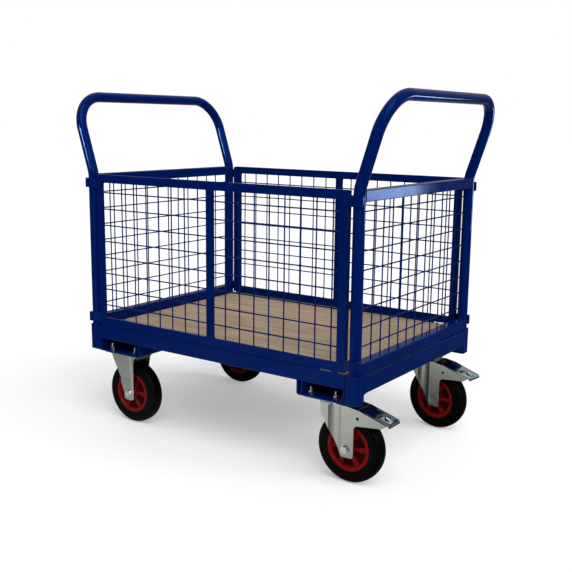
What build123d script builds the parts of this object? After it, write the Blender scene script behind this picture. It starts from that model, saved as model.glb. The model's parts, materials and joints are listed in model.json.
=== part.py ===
"""Mesh-sided platform trolley: plug-in hoop ends, hook-on mesh sides, a plywood deck and four castors.

Millimetres. +X is the end with the braked swivel castors, -Y is one long side, +Z is up.
The origin lies on the floor under the middle of the platform.
"""

import os
from math import pi, sin, sqrt

from build123d import *

# Platform
platform_length = 1000.0
platform_width = 700.0
castor_height = 240.0
post_length = 42.0
post_depth = 34.0
post_height = 82.0
post_wall = 3.5
post_foot = 4.0
post_corner = 4.0
post_toe = 3.0
rail_height = 42.0
rail_wall = 3.0
rail_ledge = 34.0
rail_lip = 32.0
rail_edge = 3.0
end_rail_drop = 5.0
end_rail_height = 48.5
end_rail_ledge = 60.0
deck_thickness = 12.0
deck_gap = 0.5
cross_member_width = 40.0
cross_member_wall = 3.0

# Castor brackets, the pressed trays under the four corners
fixed_bracket_length = 172.0
swivel_bracket_length = 151.5
bracket_depth = 145.0
bracket_wall = 4.0
bracket_web = 14.0
bracket_corner = 40.0
bracket_bend = 8.0

# End frames
hoop_diameter = 32.0
hoop_wall = 2.5
hoop_inset_x = 19.0
hoop_inset_y = 13.5
hoop_bend_height = 804.0
hoop_bar_height = 1039.0
hoop_reach = 76.0
hoop_knee_radius = 90.0
hoop_corner_radius = 105.0
end_rail_tube = 30.0
end_rail_hang = 3.5
end_bottom_rail_height = 33.5
end_rail_tube_wall = 2.0
slip_clearance = 0.3
weld_gap = 0.05

# Side panels
panel_bar = 25.0
panel_bar_depth = 8.0
panel_bar_edge = 1.0
panel_end_gap = 9.5
panel_top = 802.0
panel_lift = 4.0
tube_corner = 2.0
foot_length = 20.0
foot_inset = 30.0
hook_thickness = 5.0
hook_height = 29.0
hook_standoff = 8.0
hook_knee = 20.0
hook_overlap = 3.0
hook_return = 12.0
hook_bend = 7.0
hook_corner = 4.0
hook_inset = 12.0

# Mesh
mesh_pitch = 50.9
wire_diameter = 4.0
mesh_rows = 8
mesh_base = 67.0
mesh_overlap = 6.0
end_mesh_inset = 22.5
side_mesh_half_columns = 8
end_mesh_columns = 11

# Castors
castor_side_inset = 75.0
swivel_castor_inset = 120.0
swivel_trail = 61.0
fixed_castor_inset = 124.5
right_rear_turn = -7.0
fixed_plate_length = 140.0
plate_length = 114.0
plate_width = 138.0
plate_thickness = 4.0
plate_corner = 8.0
fixed_plate_hole_x = 100.0
plate_hole_x = 80.0
plate_hole_y = 105.0
plate_hole_diameter = 9.0
bolt_diameter = 8.0
bolt_head_flats = 13.0
bolt_head_height = 5.3
bolt_thread = 12.0
washer_diameter = 16.0
washer_thickness = 1.6
nut_height = 6.5

# Wheels
wheel_diameter = 200.0
tyre_width = 46.0
tyre_crown = 4.0
tyre_shoulder = 12.0
tyre_ridge = 1.0
tyre_ridge_width = 4.0
tyre_ridge_offset = 12.0
hub_diameter = 132.0
hub_rim_width = 42.0
hub_rim_wall = 9.0
hub_rim_chamfer = 4.0
hub_disc_width = 34.0
hub_boss_width = 50.0
hub_boss_diameter = 46.0
hub_boss_draft = 2.0
hub_boss_foot = 4.0
hub_web = 14.0
hub_spokes = 6
pocket_margin = 4.0
pocket_width = 36.0
pocket_flank = 68.0
pocket_corner = 5.0
pocket_start = 30.0
bearing_diameter = 30.0
bearing_length = 52.0
axle_tube_diameter = 20.0
axle_diameter = 12.0
running_clearance = 0.06
axle_head_flats = 19.0
axle_head_height = 6.0
axle_washer_diameter = 26.0
axle_washer_thickness = 1.5
axle_thread = 3.0

# Forks, both kinds
fork_inside = 62.0
fork_wall = 4.5
fork_foot_drop = 22.0
fork_foot_corner = 9.0

# Fixed forks
fixed_leg_half = 20.0
fixed_strip_ahead = 34.0
fixed_strip_behind = 12.0
fixed_crease = 4.0
fixed_wing_depth = 4.0
fixed_leg_spread = 8.0
fixed_spread_height = 50.0
fixed_waist_height = 112.0
fixed_nose_inset = 5.0
fixed_tail_inset = 24.0
fixed_tail_flare = 6.0

# Swivel forks
crown_top = 222.0
crown_wall = 5.0
crown_diameter = 76.0
fork_nose = 20.0
fork_nose_height = 92.0
fork_nose_bend = 30.0
leg_ahead = 14.0
leg_behind = 25.0
fork_groove = 6.0
fork_groove_width = 42.0
fork_groove_steps = 8
throat_height = 72.0
throat_radius = 12.0
kingpin_diameter = 12.0
kingpin_nut_flats = 19.0
kingpin_nut_height = 9.0
race_outside = 68.0
race_inside = 40.0
upper_race_height = 6.0

# Brakes
arm_tip_reach = 185.0
arm_tip_height = 191.5
arm_tip_depth = 10.0
arm_tip_cut = 14.0
arm_drop = 5.0
arm_shoulder = 100.0
arm_neck = 64.0
pedal_thickness = 3.0
pedal_side_gap = 1.0
pedal_root = 94.0
pedal_pivot_reach = 97.0
pedal_pivot_height = 194.3
pedal_ear = 14.0
pivot_hole_diameter = 9.0
pivot_pin_diameter = 8.8
pivot_barrel_diameter = 15.0
pin_recess = 2.5
pedal_lip_reach = 191.0
pedal_lip_wall = 3.5
pedal_lip_drop = 5.0
pedal_lip_corner = 3.0
pedal_slot_reach = 152.0
pedal_slot_length = 30.0
pedal_slot_width = 26.0
pedal_slot_flank = 80.0
pedal_tongue_length = 18.0
pedal_tongue_rise = 5.0
shoe_width = 40.0
shoe_gap = 4.4
shoe_start = 107.0
shoe_length = 19.0

# Heights and centres that follow from the sizes above
deck_top = castor_height + post_height
deck_bottom = deck_top - deck_thickness
half_length = platform_length / 2
half_width = platform_width / 2
post_x = half_length - post_length / 2
post_y = half_width - post_depth / 2
post_inner_x = half_length - post_length
post_inner_y = half_width - post_depth
hoop_x = half_length - hoop_inset_x
hoop_y = half_width - hoop_inset_y
hoop_radius = hoop_diameter / 2
spigot_radius = hoop_inset_y - post_wall - slip_clearance
panel_length = 2 * (hoop_x - hoop_radius - panel_end_gap)
castor_y = half_width - castor_side_inset
swivel_castor_x = half_length - swivel_castor_inset
fixed_castor_x = half_length - fixed_castor_inset
wheel_radius = wheel_diameter / 2
axle_height = wheel_radius
plate_bottom = castor_height - plate_thickness
tray_top = castor_height + bracket_wall
rail_bottom = deck_top - rail_height
panel_bottom = deck_top + panel_lift
fork_half_inside = fork_inside / 2
fork_half_outside = fork_half_inside + fork_wall
bracket_inner_x = {-1: fixed_bracket_length - post_inner_x, 1: post_inner_x - swivel_bracket_length}

corners = [(sx, sy) for sx in (-1, 1) for sy in (-1, 1)]
wire_heights = [deck_top + mesh_base + row * mesh_pitch for row in range(mesh_rows)]
castors = {
    "left_front": (-fixed_castor_x, -castor_y),
    "left_rear": (-fixed_castor_x, castor_y),
    "right_front": (swivel_castor_x, -castor_y),
    "right_rear": (swivel_castor_x, castor_y),
}

os.makedirs("parts", exist_ok=True)


def save(builder, name, turn=None):
    """Label a finished sub-part and write its STEP file; a turn is a kingpin axis and an angle about it."""
    part = builder.part.rotate(*turn) if turn else builder.part
    part.label = name
    export_step(part, f"parts/{name}.step")


def side_plane(x, y):
    """A plane seen from the long side: local x runs along X from x, local y is the height above the floor."""
    return Plane(origin=(x, y, 0), x_dir=(1, 0, 0), z_dir=(0, -1, 0))


def wheel_plane(x, y):
    """A plane through the axle: local x runs along the axle, local y is the radius."""
    return Plane(origin=(x, y, axle_height), x_dir=(0, 1, 0), z_dir=(1, 0, 0))


# Side rails: a rolled edge channel with a ledge for the deck and a lower flange
for name, side in (("side_rail_front", -1), ("side_rail_rear", 1)):
    with BuildPart() as side_rail:
        with BuildSketch(Plane.YZ.offset(-post_inner_x)) as section:
            with Locations((side * (half_width - rail_wall / 2), (rail_bottom + deck_top) / 2)):
                Rectangle(rail_wall, rail_height)
            with Locations((side * (half_width - rail_ledge / 2), deck_bottom - rail_wall / 2)):
                Rectangle(rail_ledge, rail_wall)
            with Locations((side * (half_width - rail_lip / 2), rail_bottom + rail_wall / 2)):
                Rectangle(rail_lip, rail_wall)
            outer = section.vertices().sort_by_distance((side * half_width, rail_bottom))[0]
            fillet(outer, rail_edge)
        extrude(amount=2 * post_inner_x)
    save(side_rail, name)

# End rails: the same channel set a little lower, so a shadow gap shows under the end frame
for name, side in (("end_rail_left", -1), ("end_rail_right", 1)):
    end_rail_top = deck_top - end_rail_drop
    end_rail_bottom = end_rail_top - end_rail_height
    with BuildPart() as end_rail:
        with BuildSketch(side_plane(0, 0)) as section:
            with Locations((side * (half_length - rail_wall / 2), (end_rail_bottom + end_rail_top) / 2)):
                Rectangle(rail_wall, end_rail_height)
            with Locations((side * (half_length - end_rail_ledge / 2), deck_bottom - rail_wall / 2)):
                Rectangle(end_rail_ledge, rail_wall)
            with Locations((side * (half_length - rail_lip / 2), end_rail_bottom + rail_wall / 2)):
                Rectangle(rail_lip, rail_wall)
            for edge_height in (end_rail_bottom, end_rail_top):
                outer = section.vertices().sort_by_distance((side * half_length, edge_height))[0]
                fillet(outer, rail_edge - 2 * weld_gap)
        extrude(amount=post_inner_y, both=True)
    save(end_rail, name)

# Corner posts: rectangular tube sockets with a rounded foot
with BuildPart() as corner_posts:
    with BuildSketch(Plane.XY.offset(castor_height)):
        with GridLocations(2 * post_x, 2 * post_y, 2, 2):
            RectangleRounded(post_length, post_depth, post_corner)
    extrude(amount=post_height)
    fillet(corner_posts.edges().group_by(Axis.Z)[0], post_toe)
    with BuildSketch(Plane.XY.offset(castor_height + post_foot)):
        with GridLocations(2 * post_x, 2 * post_y, 2, 2):
            RectangleRounded(post_length - 2 * post_wall, post_depth - 2 * post_wall, post_corner / 4)
    extrude(amount=post_height - post_foot, mode=Mode.SUBTRACT)
save(corner_posts, "corner_posts")

# Deck: one plywood board lying on the ledges of the four rails
with BuildPart() as deck_board:
    with BuildSketch(Plane.XY.offset(deck_bottom)):
        Rectangle(2 * (post_inner_x - deck_gap), 2 * (half_width - rail_wall - deck_gap))
    extrude(amount=deck_thickness)
save(deck_board, "deck_board")

# Deck cross-members: channels, open below, whose outer web stands on the bracket wall
cross_member_middles = [0.0]
for sx, inner_x in bracket_inner_x.items():
    cross_member_middles.append(inner_x + sx * (cross_member_wall - cross_member_width / 2))
with BuildPart() as deck_cross_members:
    cross_member_height = deck_bottom - rail_bottom
    cross_member_bore = cross_member_width - 2 * cross_member_wall
    with BuildSketch(side_plane(0, 0)):
        for middle in cross_member_middles:
            with Locations((middle, rail_bottom + cross_member_height / 2)):
                Rectangle(cross_member_width, cross_member_height)
            with Locations((middle, rail_bottom + cross_member_height / 2 - cross_member_wall)):
                Rectangle(cross_member_bore, cross_member_height, mode=Mode.SUBTRACT)
    extrude(amount=half_width - rail_ledge, both=True)
save(deck_cross_members, "deck_cross_members")

# Castor brackets: trays open to the long side, closed on the other three by a bent-up wall, with a second
# web inside the inboard wall
bolt_points = []
for x, y in castors.values():
    hole_x = plate_hole_x if x > 0 else fixed_plate_hole_x
    for dx in (-hole_x / 2, hole_x / 2):
        for dy in (-plate_hole_y / 2, plate_hole_y / 2):
            bolt_points.append((x + dx, y + dy))

with BuildPart() as castor_brackets:
    for sx, sy in corners:
        inboard = bracket_inner_x[sx]
        outboard = sx * post_inner_x
        back = sy * (half_width - bracket_depth)
        middle_x = (inboard + outboard) / 2
        middle_y = sy * (half_width - bracket_depth / 2)
        tray_length = abs(outboard - inboard)
        with BuildSketch(Plane.XY.offset(castor_height)) as outline:
            with Locations((middle_x, middle_y)):
                Rectangle(tray_length, bracket_depth)
            fillet(outline.vertices().sort_by_distance((outboard, back))[0], bracket_corner)
        extrude(amount=rail_bottom - castor_height)
        with BuildSketch(Plane.XY.offset(tray_top)) as inside:
            with Locations((middle_x, middle_y + sy * bracket_wall / 2)):
                Rectangle(tray_length - 2 * bracket_wall, bracket_depth - bracket_wall)
            fillet(inside.vertices().sort_by_distance((outboard, back))[0], bracket_corner - bracket_wall)
        extrude(amount=rail_bottom - tray_top, mode=Mode.SUBTRACT)
        with BuildSketch(Plane.XY.offset(tray_top)):
            with Locations((inboard + sx * (bracket_web + bracket_wall / 2), middle_y)):
                Rectangle(bracket_wall, bracket_depth)
        extrude(amount=rail_bottom - tray_top)
        fold = (inboard, middle_y, castor_height)
        fillet(castor_brackets.edges().filter_by(Axis.Y).sort_by_distance(fold)[0], bracket_bend)
    with BuildSketch(Plane.XY.offset(castor_height)):
        with Locations(*bolt_points):
            Circle(plate_hole_diameter / 2)
    extrude(amount=bracket_wall, mode=Mode.SUBTRACT)
save(castor_brackets, "castor_brackets")

# Castor bolts go up through the castor plate and the tray, with a washer and nut on top
with BuildPart() as castor_bolts:
    with BuildSketch(Plane.XY.offset(plate_bottom - bolt_head_height)):
        with Locations(*bolt_points):
            RegularPolygon(bolt_head_flats / 2, 6, major_radius=False)
    extrude(amount=bolt_head_height)
    with BuildSketch(Plane.XY.offset(plate_bottom)):
        with Locations(*bolt_points):
            Circle(bolt_diameter / 2)
    extrude(amount=plate_thickness + bracket_wall + washer_thickness + nut_height + bolt_thread)
save(castor_bolts, "castor_bolts")

with BuildPart() as castor_nuts:
    with BuildSketch(Plane.XY.offset(tray_top)):
        with Locations(*bolt_points):
            Circle(washer_diameter / 2)
    extrude(amount=washer_thickness)
    with BuildSketch(Plane.XY.offset(tray_top + washer_thickness)):
        with Locations(*bolt_points):
            RegularPolygon(bolt_head_flats / 2, 6, major_radius=False)
    extrude(amount=nut_height)
    with BuildSketch(Plane.XY.offset(tray_top)):
        with Locations(*bolt_points):
            Circle(bolt_diameter / 2 + weld_gap)
    extrude(amount=washer_thickness + nut_height, mode=Mode.SUBTRACT)
save(castor_nuts, "castor_nuts")

# End frames: one bent tube each, swaged down to spigots, with two cross rails coped to it and a welded mesh
leg_foot = castor_height + post_foot + slip_clearance
leg_seat = deck_top + slip_clearance
end_bottom_rail_low = deck_top - end_rail_hang
end_mesh_low = end_bottom_rail_low + end_bottom_rail_height
end_mesh_high = panel_top - end_rail_tube
end_rail_levels = [
    (end_bottom_rail_low, end_bottom_rail_height),
    (end_mesh_high, end_rail_tube),
]
end_mesh_x = half_length - end_mesh_inset

for end, side in (("left", -1), ("right", 1)):
    legs = [(side * hoop_x, -hoop_y), (side * hoop_x, hoop_y)]
    with BuildPart() as end_hoop:
        with BuildLine() as hoop_path:
            FilletPolyline(
                (side * hoop_x, -hoop_y, leg_seat),
                (side * hoop_x, -hoop_y, hoop_bend_height),
                (side * (hoop_x + hoop_reach), -hoop_y, hoop_bar_height),
                (side * (hoop_x + hoop_reach), hoop_y, hoop_bar_height),
                (side * hoop_x, hoop_y, hoop_bend_height),
                (side * hoop_x, hoop_y, leg_seat),
                radius=[hoop_knee_radius, hoop_corner_radius, hoop_corner_radius, hoop_knee_radius],
            )
        with BuildSketch(Plane.XY.offset(leg_seat)):
            with Locations(legs[0]):
                Circle(hoop_radius)
                Circle(hoop_radius - hoop_wall, mode=Mode.SUBTRACT)
        sweep(path=hoop_path.wires()[0])
        with BuildSketch(Plane.XY.offset(leg_foot)):
            with Locations(*legs):
                Circle(spigot_radius)
                Circle(spigot_radius - hoop_wall, mode=Mode.SUBTRACT)
        extrude(amount=leg_seat + hoop_wall - leg_foot)
        with BuildSketch(Plane.XY.offset(leg_seat)):
            with Locations(*legs):
                Circle(hoop_radius - hoop_wall / 2)
                Circle(spigot_radius - hoop_wall, mode=Mode.SUBTRACT)
        extrude(amount=hoop_wall)
    save(end_hoop, f"{end}_end_hoop")

    with BuildPart() as end_rails:
        with BuildSketch(side_plane(side * hoop_x, 0)):
            for low, tall in end_rail_levels:
                with Locations((0, low + tall / 2)):
                    RectangleRounded(end_rail_tube, tall, tube_corner)
                    bore = end_rail_tube - 2 * end_rail_tube_wall
                    Rectangle(bore, tall - 2 * end_rail_tube_wall, mode=Mode.SUBTRACT)
        extrude(amount=hoop_y, both=True)
        with BuildSketch(Plane.XY.offset(leg_seat)):
            with Locations(legs[0]):
                Circle(hoop_radius + weld_gap)
        sweep(path=hoop_path.wires()[0], mode=Mode.SUBTRACT)
        with BuildSketch(Plane.XY.offset(end_bottom_rail_low)):
            with GridLocations(2 * post_x, 2 * post_y, 2, 2):
                Rectangle(post_length + 2 * slip_clearance, post_depth + 2 * slip_clearance)
        extrude(amount=leg_seat - end_bottom_rail_low, mode=Mode.SUBTRACT)
    save(end_rails, f"{end}_end_rails")

    with BuildPart() as end_mesh:
        outer_layer = side * (end_mesh_x + wire_diameter / 2)
        inner_layer = side * (end_mesh_x - wire_diameter / 2)
        with BuildSketch(Plane.XY.offset(end_mesh_low)):
            with Locations((outer_layer, 0)):
                with GridLocations(0, mesh_pitch, 1, end_mesh_columns):
                    Circle(wire_diameter / 2)
        extrude(amount=end_mesh_high - end_mesh_low)
        with BuildSketch(side_plane(0, 0)):
            with Locations(*[(inner_layer, height) for height in wire_heights]):
                Circle(wire_diameter / 2)
        extrude(amount=hoop_y - sqrt(hoop_radius**2 - (hoop_x - end_mesh_x) ** 2) - weld_gap, both=True)
    save(end_mesh, f"{end}_end_mesh")

# Side panels: a flat-bar frame with a centre upright, a mesh welded behind it and four strap hooks
upright_low = panel_bottom + panel_bar
upright_high = panel_top - panel_bar
upright_x = panel_length / 2 - panel_bar / 2
hook_x = hoop_x + hoop_radius + hook_overlap
hook_y = half_width + hook_standoff
hook_levels = (deck_top + hook_inset, panel_top - hook_inset - hook_height)

for panel, side in (("front", -1), ("rear", 1)):
    corner = panel_length / 2
    with BuildPart() as panel_frame:
        with BuildSketch(side_plane(0, side * half_width)):
            with Locations((0, panel_bottom + panel_bar / 2), (0, panel_top - panel_bar / 2)):
                Rectangle(panel_length, panel_bar)
        extrude(amount=side * panel_bar_depth)
        fillet(panel_frame.edges().filter_by(Axis.X), panel_bar_edge)
        with BuildSketch(side_plane(0, side * half_width)):
            with Locations(*[(x, (upright_low + upright_high) / 2) for x in (-upright_x, 0, upright_x)]):
                Rectangle(panel_bar, upright_high - upright_low - 2 * weld_gap)
        extrude(amount=side * panel_bar_depth)
        with BuildSketch(Plane.XY.offset(deck_top)):
            foot_y = side * (half_width - rail_wall / 2)
            with Locations((foot_inset - corner, foot_y), (corner - foot_inset, foot_y)):
                Rectangle(foot_length, rail_wall)
        extrude(amount=panel_lift - weld_gap)
    save(panel_frame, f"{panel}_panel_frame")

    with BuildPart() as panel_mesh:
        outer_layer = side * (half_width - panel_bar_depth - wire_diameter / 2 - weld_gap)
        inner_layer = outer_layer - side * wire_diameter
        columns = [mesh_pitch * (column + 1) for column in range(side_mesh_half_columns)]
        with BuildSketch(Plane.XY.offset(upright_low - mesh_overlap)):
            with Locations(*[(half * column, outer_layer) for half in (-1, 1) for column in columns]):
                Circle(wire_diameter / 2)
        extrude(amount=upright_high - upright_low + 2 * mesh_overlap)
        with BuildSketch(Plane.YZ):
            with Locations(*[(inner_layer, height) for height in wire_heights]):
                Circle(wire_diameter / 2)
        extrude(amount=corner - panel_bar + mesh_overlap, both=True)
    save(panel_mesh, f"{panel}_panel_mesh")

    with BuildPart() as panel_hooks:
        for level in hook_levels:
            for end in (-1, 1):
                knee = end * (corner + hook_knee)
                with BuildSketch(Plane.XY.offset(level)) as strap:
                    with BuildLine():
                        Polyline(
                            (end * corner, side * half_width),
                            (knee, side * hook_y),
                            (end * hook_x, side * hook_y),
                            (end * hook_x, side * (hook_y - hook_return)),
                            (end * (hook_x - hook_thickness), side * (hook_y - hook_return)),
                            (end * (hook_x - hook_thickness), side * (hook_y - hook_thickness)),
                            (knee, side * (hook_y - hook_thickness)),
                            (end * corner, side * (half_width - hook_thickness)),
                            close=True,
                        )
                    make_face()
                    elbow = (end * hook_x, side * hook_y)
                    fillet(strap.vertices().sort_by_distance(elbow)[0], hook_bend)
                extrude(amount=hook_height)
        with BuildSketch(side_plane(0, side * half_width)):
            strap_length = hook_x - corner + 2 * hook_corner
            strap_middle = hook_x - strap_length / 2
            for level in hook_levels:
                height = level + hook_height / 2
                with Locations((-strap_middle, height), (strap_middle, height)):
                    RectangleRounded(strap_length, hook_height, hook_corner)
        extrude(amount=2 * hook_standoff, both=True, mode=Mode.INTERSECT)
    save(panel_hooks, f"{panel}_panel_hooks")


# Wheels: rubber tyre on a moulded six-pocket hub with a roller bearing
def build_wheel(name, x, y, turn=None):
    """Make the tyre, the hub and the bearing of one wheel at its axle point."""
    spin_axis = Axis((x, y, axle_height), (0, 1, 0))
    hub_radius = hub_diameter / 2
    wall = tyre_width / 2 - tyre_ridge
    ridge_low = hub_radius + tyre_ridge_offset - tyre_ridge_width / 2
    ridge_high = hub_radius + tyre_ridge_offset + tyre_ridge_width / 2
    shoulder = wheel_radius - tyre_crown
    with BuildPart() as tyre:
        with BuildSketch(wheel_plane(x, y)) as section:
            with BuildLine():
                Polyline(
                    (-wall, shoulder),
                    (-wall, ridge_high),
                    (-tyre_width / 2, hub_radius + tyre_ridge_offset),
                    (-wall, ridge_low),
                    (-hub_rim_width / 2, hub_radius),
                    (hub_rim_width / 2, hub_radius),
                    (wall, ridge_low),
                    (tyre_width / 2, hub_radius + tyre_ridge_offset),
                    (wall, ridge_high),
                    (wall, shoulder),
                )
                ThreePointArc((wall, shoulder), (0, wheel_radius), (-wall, shoulder))
            make_face()
            fillet(section.vertices().filter_by_position(Axis.Y, shoulder - 1, shoulder + 1), tyre_shoulder)
        revolve(axis=spin_axis)
    save(tyre, f"{name}_tyre", turn)

    rim_inner = hub_radius - hub_rim_wall
    boss_foot = hub_boss_diameter / 2 + hub_boss_foot
    pocket_inner = boss_foot + pocket_margin
    pocket_height = rim_inner - pocket_margin - pocket_inner
    with BuildPart() as hub:
        with BuildSketch(wheel_plane(x, y)):
            with BuildLine():
                Polyline(
                    (0, bearing_diameter / 2),
                    (hub_boss_width / 2, bearing_diameter / 2),
                    (hub_boss_width / 2, hub_boss_diameter / 2 - hub_boss_draft),
                    (hub_disc_width / 2, boss_foot),
                    (hub_disc_width / 2, rim_inner),
                    (hub_rim_width / 2, rim_inner + hub_rim_chamfer),
                    (hub_rim_width / 2, hub_radius),
                    (0, hub_radius),
                    close=True,
                )
            make_face()
            mirror(about=Plane.YZ)
        revolve(axis=spin_axis)
        for face in (-1, 1):
            middle = (x, y + face * hub_disc_width / 2, axle_height)
            with BuildSketch(Plane(origin=middle, x_dir=(-face, 0, 0), z_dir=(0, face, 0))) as pockets:
                with PolarLocations(pocket_inner + pocket_height / 2, hub_spokes, start_angle=pocket_start):
                    Trapezoid(pocket_width, pocket_height, pocket_flank, rotation=90)
                fillet(pockets.vertices(), pocket_corner)
            extrude(amount=-(hub_disc_width - hub_web) / 2, mode=Mode.SUBTRACT)
    save(hub, f"{name}_hub", turn)

    with BuildPart() as bearing:
        with BuildSketch(Plane(origin=(x, y, axle_height), x_dir=(1, 0, 0), z_dir=(0, -1, 0))):
            Circle(bearing_diameter / 2)
            Circle(axle_tube_diameter / 2 + running_clearance, mode=Mode.SUBTRACT)
        extrude(amount=bearing_length / 2, both=True)
    save(bearing, f"{name}_bearing", turn)


def build_axle(name, x, y, turn=None):
    """Make the axle bolt with its nut, head outwards, and the spacer tube between the fork legs."""
    outward = 1 if y > 0 else -1
    hex_plane = Plane(origin=(x, y, axle_height), x_dir=(1, 0, 0), z_dir=(0, outward, 0))
    washer_outer = fork_half_outside + axle_washer_thickness
    bolt_end = washer_outer + axle_head_height + axle_thread
    with BuildPart() as axle_bolt:
        with BuildSketch(hex_plane.offset(-bolt_end)):
            Circle(axle_diameter / 2)
        extrude(amount=bolt_end + washer_outer)
        with BuildSketch(hex_plane.offset(fork_half_outside)):
            Circle(axle_washer_diameter / 2)
        extrude(amount=axle_washer_thickness)
        with BuildSketch(hex_plane.offset(washer_outer)):
            RegularPolygon(axle_head_flats / 2, 6, major_radius=False)
        extrude(amount=axle_head_height)
        with BuildSketch(hex_plane.offset(-washer_outer)):
            RegularPolygon(axle_head_flats / 2, 6, major_radius=False)
            Circle(axle_diameter / 2 + weld_gap, mode=Mode.SUBTRACT)
        extrude(amount=-axle_head_height)
        with BuildSketch(hex_plane.offset(-washer_outer)):
            Circle(axle_washer_diameter / 2)
            Circle(axle_diameter / 2 + weld_gap, mode=Mode.SUBTRACT)
        extrude(amount=axle_washer_thickness)
    save(axle_bolt, f"{name}_axle_bolt", turn)

    with BuildPart() as axle_tube:
        with BuildSketch(hex_plane):
            Circle(axle_tube_diameter / 2)
            Circle(axle_diameter / 2 + 2 * weld_gap, mode=Mode.SUBTRACT)
        extrude(amount=fork_half_inside, both=True)
    save(axle_tube, f"{name}_axle_tube", turn)


def castor_plate(x, y, length, hole_x):
    """Draw the outline of a castor's bolted plate, with its four holes, in the sketch that is open."""
    with Locations((x, y)):
        RectangleRounded(length, plate_width, plate_corner)
        with GridLocations(hole_x, plate_hole_y, 2, 2):
            Circle(plate_hole_diameter / 2, mode=Mode.SUBTRACT)


def leg_section(x, y, stations):
    """Draw the pressed sheet of both fork legs, seen from above.

    Each station is a distance along X from x and the depth of the sheet there below the outermost face.
    """
    for sy in (-1, 1):
        outer = [(x + reach, y + sy * (fork_half_outside - depth)) for reach, depth in stations]
        inner = [(x + reach, y + sy * (fork_half_inside - depth)) for reach, depth in reversed(stations)]
        Polygon(*outer, *inner, align=None)


def build_fixed_fork(name, x, y):
    """Press one fixed fork: a bolted plate with two tapering, creased legs that spread towards it."""
    foot = axle_height - fork_foot_drop
    spread_start = axle_height + fixed_spread_height
    nose = -fixed_plate_length / 2
    tail = fixed_plate_length / 2 - fixed_tail_inset
    stations = [
        (nose, fixed_wing_depth / 2),
        (-fixed_strip_ahead - fixed_crease, fixed_wing_depth),
        (-fixed_strip_ahead, 0),
        (fixed_strip_behind, 0),
        (fixed_strip_behind + fixed_crease, fixed_wing_depth / 2),
        (tail, fixed_wing_depth / 2),
    ]
    with BuildPart() as fork:
        with BuildSketch(Plane.XY.offset(foot)):
            leg_section(x, y, stations)
        extrude(amount=spread_start - foot)
        rise = plate_bottom - spread_start
        upper_legs = fork.faces().filter_by(Axis.Z).group_by(Axis.Z)[-1].sort_by(Axis.Y)
        for leg, sy in zip(upper_legs, (-1, 1)):
            lean = Vector(0, sy * fixed_leg_spread, rise)
            extrude(leg, amount=lean.length, dir=lean)
        with BuildSketch(side_plane(x, y)) as outline:
            with BuildLine():
                Polyline(
                    (nose, plate_bottom),
                    (nose + fixed_nose_inset, axle_height + fixed_waist_height),
                    (-fixed_leg_half, axle_height),
                    (-fixed_leg_half, foot),
                    (fixed_leg_half, foot),
                    (fixed_leg_half, axle_height + fixed_spread_height),
                    (fixed_leg_half + fixed_tail_flare, axle_height + fixed_waist_height),
                    (tail, plate_bottom),
                    close=True,
                )
            make_face()
            fillet(outline.vertices().filter_by_position(Axis.Y, 0, foot + 1), fork_foot_corner)
        extrude(amount=plate_width, both=True, mode=Mode.INTERSECT)
        with BuildSketch(Plane.XY.offset(plate_bottom)):
            castor_plate(x, y, fixed_plate_length, fixed_plate_hole_x)
        extrude(amount=plate_thickness)
        with BuildSketch(side_plane(x, y)):
            with Locations((0, axle_height)):
                Circle(axle_diameter / 2 + weld_gap)
        extrude(amount=plate_width, both=True, mode=Mode.SUBTRACT)
    save(fork, f"{name}_fork")


def build_swivel_head(name, x, y, turn=None):
    """Make the bolted top plate with its race, the ball race on the fork and the kingpin that joins them."""
    race_top = plate_bottom - upper_race_height
    crown_bottom = crown_top - crown_wall
    with BuildPart() as top_plate:
        with BuildSketch(Plane.XY.offset(plate_bottom)):
            castor_plate(x, y, plate_length, plate_hole_x)
        extrude(amount=plate_thickness)
        with BuildSketch(Plane.XY.offset(race_top)):
            with Locations((x, y)):
                Circle(race_outside / 2)
        extrude(amount=upper_race_height)
        with BuildSketch(Plane.XY.offset(race_top)):
            with Locations((x, y)):
                Circle(kingpin_diameter / 2 + running_clearance)
        extrude(amount=upper_race_height + plate_thickness, mode=Mode.SUBTRACT)
    save(top_plate, f"{name}_top_plate")

    with BuildPart() as ball_race:
        with BuildSketch(Plane.XY.offset(crown_top)):
            with Locations((x, y)):
                Circle(race_outside / 2)
                Circle(race_inside / 2, mode=Mode.SUBTRACT)
        extrude(amount=race_top - slip_clearance - crown_top)
    save(ball_race, f"{name}_ball_race", turn)

    with BuildPart() as kingpin:
        with BuildSketch(Plane.XY.offset(crown_bottom)):
            with Locations((x, y)):
                Circle(kingpin_diameter / 2)
        extrude(amount=castor_height - slip_clearance - crown_bottom)
        with BuildSketch(Plane.XY.offset(crown_bottom)):
            with Locations((x, y)):
                RegularPolygon(kingpin_nut_flats / 2, 6, major_radius=False)
        extrude(amount=-kingpin_nut_height)
    save(kingpin, f"{name}_kingpin", turn)


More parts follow.
